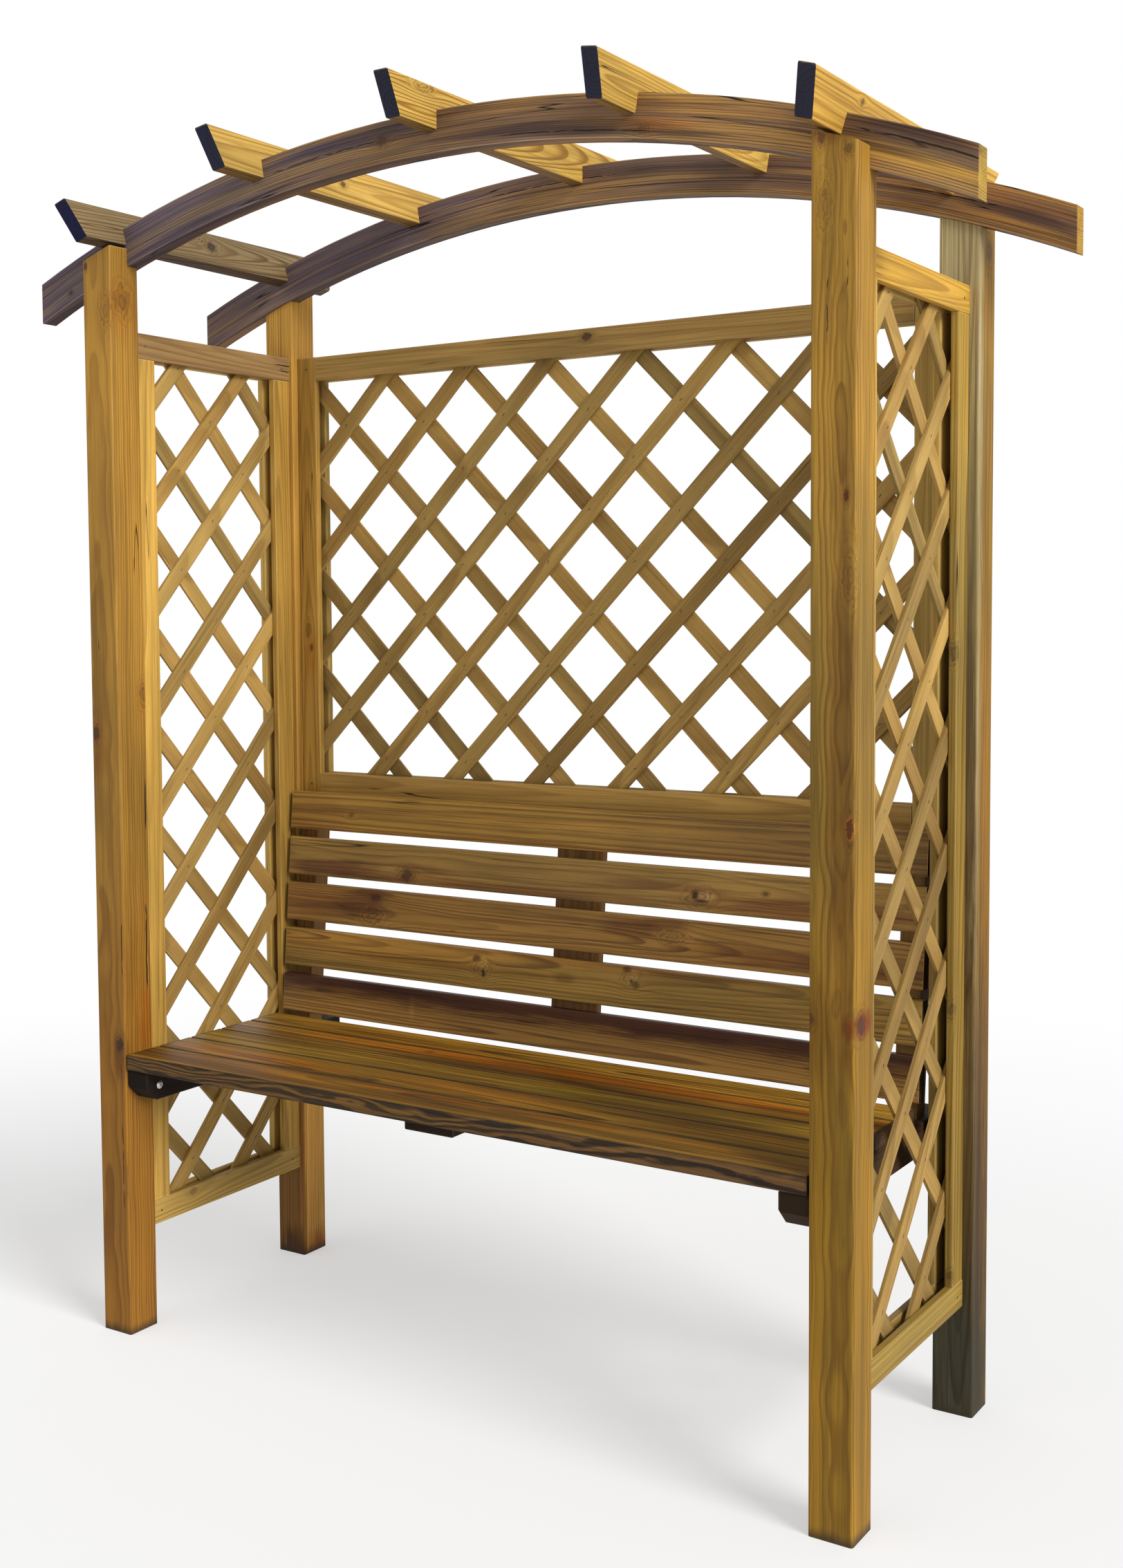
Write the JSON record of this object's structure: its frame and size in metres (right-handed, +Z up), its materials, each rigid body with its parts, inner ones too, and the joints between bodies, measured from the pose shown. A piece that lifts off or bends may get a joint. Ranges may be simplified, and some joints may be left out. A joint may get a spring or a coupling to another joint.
{
  "type": "arbor bench",
  "caption": "Garden bench under an arched wooden arbor, with trellis sides and back, rafters over two arches, and a slatted seat and backrest.",
  "frame": {"origin": "on the ground under the middle of the bench, centre of the bounding box's base", "axes": "+Z up, the bench faces -Y, +X is to the right for someone who looks at its front"},
  "size_m": [1.824, 0.738, 2.1871],
  "materials": {
    "post_pine": "planed, pressure-treated softwood, weathered ochre brown",
    "arch_glulam": "glued laminated softwood, planed, violet brown",
    "rafter_pine": "planed softwood, golden, dark end grain",
    "frame_pine": "planed softwood with rounded edges",
    "lath_pine": "planed thin laths, straw to olive",
    "seat_pine": "planed softwood, olive and red brown with dark grain",
    "backrest_pine": "planed softwood, olive brown with violet streaks",
    "bearer_pine": "planed softwood, dark treated",
    "zinc_steel": "zinc plated"
  },
  "bodies": {
    "root": {"front_left_post": "post_pine", "front_right_post": "post_pine", "rear_left_post": "post_pine", "rear_right_post": "post_pine", "front_arch": "arch_glulam", "rear_arch": "arch_glulam", "rafter_1": "rafter_pine", "rafter_2": "rafter_pine", "rafter_3": "rafter_pine", "rafter_4": "rafter_pine", "rafter_5": "rafter_pine", "left_trellis_inner_bottom_rail": "frame_pine", "left_trellis_inner_top_rail": "frame_pine", "left_trellis_inner_start_stile": "frame_pine", "left_trellis_inner_end_stile": "frame_pine", "left_trellis_outer_bottom_rail": "frame_pine", "left_trellis_outer_top_rail": "frame_pine", "left_trellis_outer_start_stile": "frame_pine", "left_trellis_outer_end_stile": "frame_pine", "left_trellis_lattice": "lath_pine", "right_trellis_inner_bottom_rail": "frame_pine", "right_trellis_inner_top_rail": "frame_pine", "right_trellis_inner_start_stile": "frame_pine", "right_trellis_inner_end_stile": "frame_pine", "right_trellis_outer_bottom_rail": "frame_pine", "right_trellis_outer_top_rail": "frame_pine", "right_trellis_outer_start_stile": "frame_pine", "right_trellis_outer_end_stile": "frame_pine", "right_trellis_lattice": "lath_pine", "back_trellis_front_bottom_rail": "frame_pine", "back_trellis_front_top_rail": "frame_pine", "back_trellis_front_start_stile": "frame_pine", "back_trellis_front_end_stile": "frame_pine", "back_trellis_rear_bottom_rail": "frame_pine", "back_trellis_rear_top_rail": "frame_pine", "back_trellis_rear_start_stile": "frame_pine", "back_trellis_rear_end_stile": "frame_pine", "back_trellis_lattice": "lath_pine", "seat_slat_1": "seat_pine", "seat_slat_2": "seat_pine", "seat_slat_3": "seat_pine", "seat_slat_4": "seat_pine", "seat_slat_5": "seat_pine", "left_bearer": "bearer_pine", "right_bearer": "bearer_pine", "seat_cleat": "bearer_pine", "front_left_bearer_screw": "zinc_steel", "front_right_bearer_screw": "zinc_steel", "rear_left_bearer_screw": "zinc_steel", "rear_right_bearer_screw": "zinc_steel", "back_slat_1": "backrest_pine", "back_slat_2": "backrest_pine", "back_slat_3": "backrest_pine", "back_slat_4": "backrest_pine", "back_slat_5": "backrest_pine", "left_back_support": "backrest_pine", "middle_back_support": "backrest_pine", "right_back_support": "backrest_pine"}
  },
  "joints": []
}
